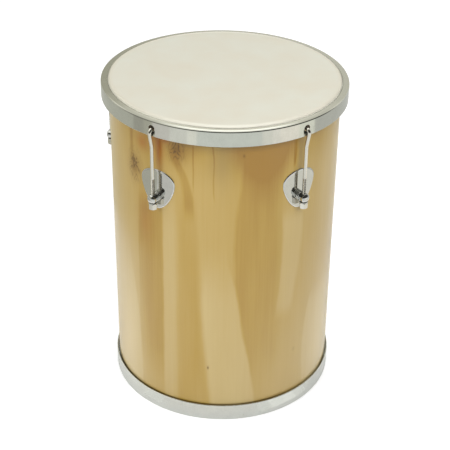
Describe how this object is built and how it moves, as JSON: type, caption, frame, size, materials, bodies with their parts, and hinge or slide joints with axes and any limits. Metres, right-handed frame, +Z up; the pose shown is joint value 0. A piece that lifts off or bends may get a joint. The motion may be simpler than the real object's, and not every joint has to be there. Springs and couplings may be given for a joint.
{
  "type": "rebolo drum",
  "caption": "Tall open-bottomed hand drum with a wooden shell, a film head held by a steel counterhoop, and hook rods tensioned by nuts under posts on the shell.",
  "frame": {"origin": "on the shell's axis, at the plane that the bottom band stands on", "axes": "+Z up along the shell's axis to the head, -Y to the front, midway between two lugs"},
  "size_m": [0.3252, 0.3315, 0.4526],
  "materials": {
    "shell_wood": "varnished light veneer, grain upright",
    "head_film": "milky polyester film, faintly mottled",
    "hoop_chrome": "plated steel, polished, lightly scuffed",
    "band_steel": "plated steel sheet, softly polished",
    "flesh_aluminium": "plain mill aluminium",
    "lug_chrome": "plated steel, mirror polished",
    "hook_chrome": "plated steel rod, bright",
    "nut_chrome": "plated steel, bright",
    "washer_steel": "plated steel, thin and flat",
    "inner_zinc": "dull zinc plating"
  },
  "bodies": {
    "drum": {"shell": "shell_wood", "bottom_band": "band_steel", "drum_head": "head_film", "flesh_hoop": "flesh_aluminium", "counterhoop": "hoop_chrome", "lug_plate_1": "lug_chrome", "lug_post_1": "lug_chrome", "post_washer_1": "inner_zinc", "post_nut_1": "inner_zinc", "tension_washer_1": "washer_steel", "lug_plate_2": "lug_chrome", "lug_post_2": "lug_chrome", "post_washer_2": "inner_zinc", "post_nut_2": "inner_zinc", "tension_washer_2": "washer_steel", "lug_plate_3": "lug_chrome", "lug_post_3": "lug_chrome", "post_washer_3": "inner_zinc", "post_nut_3": "inner_zinc", "tension_washer_3": "washer_steel", "lug_plate_4": "lug_chrome", "lug_post_4": "lug_chrome", "post_washer_4": "inner_zinc", "post_nut_4": "inner_zinc", "tension_washer_4": "washer_steel", "lug_plate_5": "lug_chrome", "lug_post_5": "lug_chrome", "post_washer_5": "inner_zinc", "post_nut_5": "inner_zinc", "tension_washer_5": "washer_steel"},
    "nut_1": {"tension_nut_1": "nut_chrome"},
    "hook_1": {"tension_hook_1": "hook_chrome"},
    "nut_2": {"tension_nut_2": "nut_chrome"},
    "hook_2": {"tension_hook_2": "hook_chrome"},
    "nut_3": {"tension_nut_3": "nut_chrome"},
    "hook_3": {"tension_hook_3": "hook_chrome"},
    "nut_4": {"tension_nut_4": "nut_chrome"},
    "hook_4": {"tension_hook_4": "hook_chrome"},
    "nut_5": {"tension_nut_5": "nut_chrome"},
    "hook_5": {"tension_hook_5": "hook_chrome"}
  },
  "joints": [
    {"name": "nut_turn_1", "type": "hinge", "parent": "drum", "child": "nut_1", "pos_m": [-0.09546, -0.13138, 0.3313], "axis": [0, 0, -1], "range_deg": [0, 540]},
    {"name": "hook_lift_1", "type": "slide", "parent": "drum", "child": "hook_1", "axis": [0, 0, 1], "range_m": [0, 0.0012]},
    {"name": "nut_turn_2", "type": "hinge", "parent": "drum", "child": "nut_2", "pos_m": [0.09546, -0.13138, 0.3313], "axis": [0, 0, -1], "range_deg": [0, 540]},
    {"name": "hook_lift_2", "type": "slide", "parent": "drum", "child": "hook_2", "axis": [0, 0, 1], "range_m": [0, 0.0012]},
    {"name": "nut_turn_3", "type": "hinge", "parent": "drum", "child": "nut_3", "pos_m": [0.15445, 0.05018, 0.3313], "axis": [0, 0, -1], "range_deg": [0, 540]},
    {"name": "hook_lift_3", "type": "slide", "parent": "drum", "child": "hook_3", "axis": [0, 0, 1], "range_m": [0, 0.0012]},
    {"name": "nut_turn_4", "type": "hinge", "parent": "drum", "child": "nut_4", "pos_m": [0, 0.1624, 0.3313], "axis": [0, 0, -1], "range_deg": [0, 540]},
    {"name": "hook_lift_4", "type": "slide", "parent": "drum", "child": "hook_4", "axis": [0, 0, 1], "range_m": [0, 0.0012]},
    {"name": "nut_turn_5", "type": "hinge", "parent": "drum", "child": "nut_5", "pos_m": [-0.15445, 0.05018, 0.3313], "axis": [0, 0, -1], "range_deg": [0, 540]},
    {"name": "hook_lift_5", "type": "slide", "parent": "drum", "child": "hook_5", "axis": [0, 0, 1], "range_m": [0, 0.0012]}
  ],
  "couplings": [
    {"joint": "nut_turn_1", "follows": "hook_lift_1", "rad_per_m": 7853.9},
    {"joint": "nut_turn_2", "follows": "hook_lift_2", "rad_per_m": 7853.9},
    {"joint": "nut_turn_3", "follows": "hook_lift_3", "rad_per_m": 7853.9},
    {"joint": "nut_turn_4", "follows": "hook_lift_4", "rad_per_m": 7853.9},
    {"joint": "nut_turn_5", "follows": "hook_lift_5", "rad_per_m": 7853.9}
  ]
}
